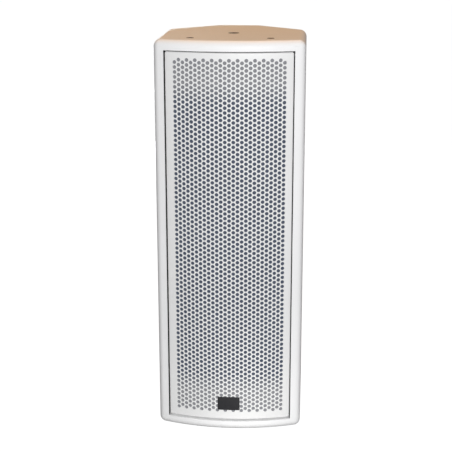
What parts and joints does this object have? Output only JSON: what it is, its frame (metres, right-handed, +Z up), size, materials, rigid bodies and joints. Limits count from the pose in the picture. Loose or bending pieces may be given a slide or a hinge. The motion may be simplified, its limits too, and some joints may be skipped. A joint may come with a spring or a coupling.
{
  "type": "passive column loudspeaker",
  "caption": "Tall white loudspeaker cabinet with a bowed perforated front grille, chamfered rear corners, threaded rigging inserts and a recessed rear input plate.",
  "frame": {"origin": "centre of the cabinet's base: middle of its width and depth, at the underside", "axes": "+Z up along the cabinet's height, -Y out of the curved front grille, +X to the right as seen from the front"},
  "size_m": [0.246, 0.288, 0.671],
  "materials": {
    "cabinet_paint": "fine textured white paint over plywood",
    "baffle_paint": "matt black paint over plywood",
    "plywood": "bare birch plywood",
    "grille_paint": "fine textured white powder coat",
    "grille_cloth": "open-cell acoustic foam, mid grey",
    "badge_black": "satin black, blank",
    "cast_frame": "black coated casting",
    "plated_steel": "zinc plated",
    "black_steel": "black oxide",
    "ferrite": "sintered ferrite",
    "cone_paper": "ribbed pressed paper",
    "cap_paper": "treated paper",
    "coil_copper": "copper wire on a former",
    "surround_cloth": "doped cloth",
    "spider_cloth": "phenolic-dipped cotton",
    "seal_foam": "closed-cell seal",
    "horn_plastic": "moulded, fine grain",
    "driver_plate": "machined steel",
    "dome_metal": "thin formed metal",
    "driver_cap": "moulded cap",
    "circuit_board": "solder-masked laminate",
    "film_can": "film capacitor sleeve",
    "cement": "cement-cased resistor",
    "spacer_nylon": "moulded nylon",
    "port_plastic": "moulded tube",
    "plate_paint": "fine textured white powder coat",
    "socket_plastic": "glass-filled nylon",
    "contact_brass": "tinned brass",
    "wadding": "polyester wadding",
    "wire_sleeve": "flexible insulation"
  },
  "bodies": {
    "cabinet": {"top_panel": "cabinet_paint", "base_panel": "cabinet_paint", "rear_panel": "cabinet_paint", "left_side_panel": "cabinet_paint", "right_side_panel": "cabinet_paint", "left_rear_corner": "cabinet_paint", "right_rear_corner": "cabinet_paint", "rigging_inserts": "black_steel", "hoist_insert": "black_steel", "front_baffle": "baffle_paint", "upper_brace": "plywood", "lower_brace": "plywood", "grille": "grille_paint", "grille_magnets": "plated_steel", "grille_foam": "grille_cloth", "badge": "badge_black", "driver_screws": "black_steel", "horn": "horn_plastic", "hf_front_plate": "driver_plate", "hf_magnet": "ferrite", "hf_back_plate": "driver_plate", "hf_phase_plug": "driver_plate", "hf_suspension": "surround_cloth", "hf_rear_cap": "driver_cap", "reflex_ports": "port_plastic", "crossover_board": "circuit_board", "crossover_standoffs": "spacer_nylon", "crossover_coils": "coil_copper", "crossover_capacitors": "film_can", "crossover_resistors": "cement", "input_plate": "plate_paint", "input_plate_gasket": "seal_foam", "input_plate_screws": "black_steel", "upper_input_socket": "socket_plastic", "lower_input_socket": "socket_plastic", "socket_contacts": "contact_brass", "woofer_terminals": "contact_brass", "damping_lining": "wadding", "internal_wiring": "wire_sleeve", "upper_woofer_basket": "cast_frame", "upper_woofer_gasket": "seal_foam", "upper_woofer_top_plate": "plated_steel", "upper_woofer_magnet": "ferrite", "upper_woofer_yoke": "plated_steel", "upper_woofer_surround": "surround_cloth", "upper_woofer_spider": "spider_cloth", "lower_woofer_basket": "cast_frame", "lower_woofer_gasket": "seal_foam", "lower_woofer_top_plate": "plated_steel", "lower_woofer_magnet": "ferrite", "lower_woofer_yoke": "plated_steel", "lower_woofer_surround": "surround_cloth", "lower_woofer_spider": "spider_cloth"},
    "upper_cone": {"upper_woofer_cone": "cone_paper", "upper_woofer_dust_cap": "cap_paper", "upper_woofer_voice_coil": "coil_copper"},
    "lower_cone": {"lower_woofer_cone": "cone_paper", "lower_woofer_dust_cap": "cap_paper", "lower_woofer_voice_coil": "coil_copper"},
    "hf_dome": {"hf_diaphragm": "dome_metal"}
  },
  "joints": [
    {"name": "upper_cone_travel", "type": "slide", "parent": "cabinet", "child": "upper_cone", "axis": [0, -1, 0], "range_m": [-0.004, 0.004], "stiffness_N_per_m": 4000, "deforming": ["upper_woofer_surround", "upper_woofer_spider"]},
    {"name": "lower_cone_travel", "type": "slide", "parent": "cabinet", "child": "lower_cone", "axis": [0, -1, 0], "range_m": [-0.004, 0.004], "stiffness_N_per_m": 4000, "deforming": ["lower_woofer_surround", "lower_woofer_spider"]},
    {"name": "hf_dome_travel", "type": "slide", "parent": "cabinet", "child": "hf_dome", "axis": [0, -1, 0], "range_m": [-0.0004, 0.0004], "stiffness_N_per_m": 12000, "deforming": ["hf_suspension"]}
  ]
}
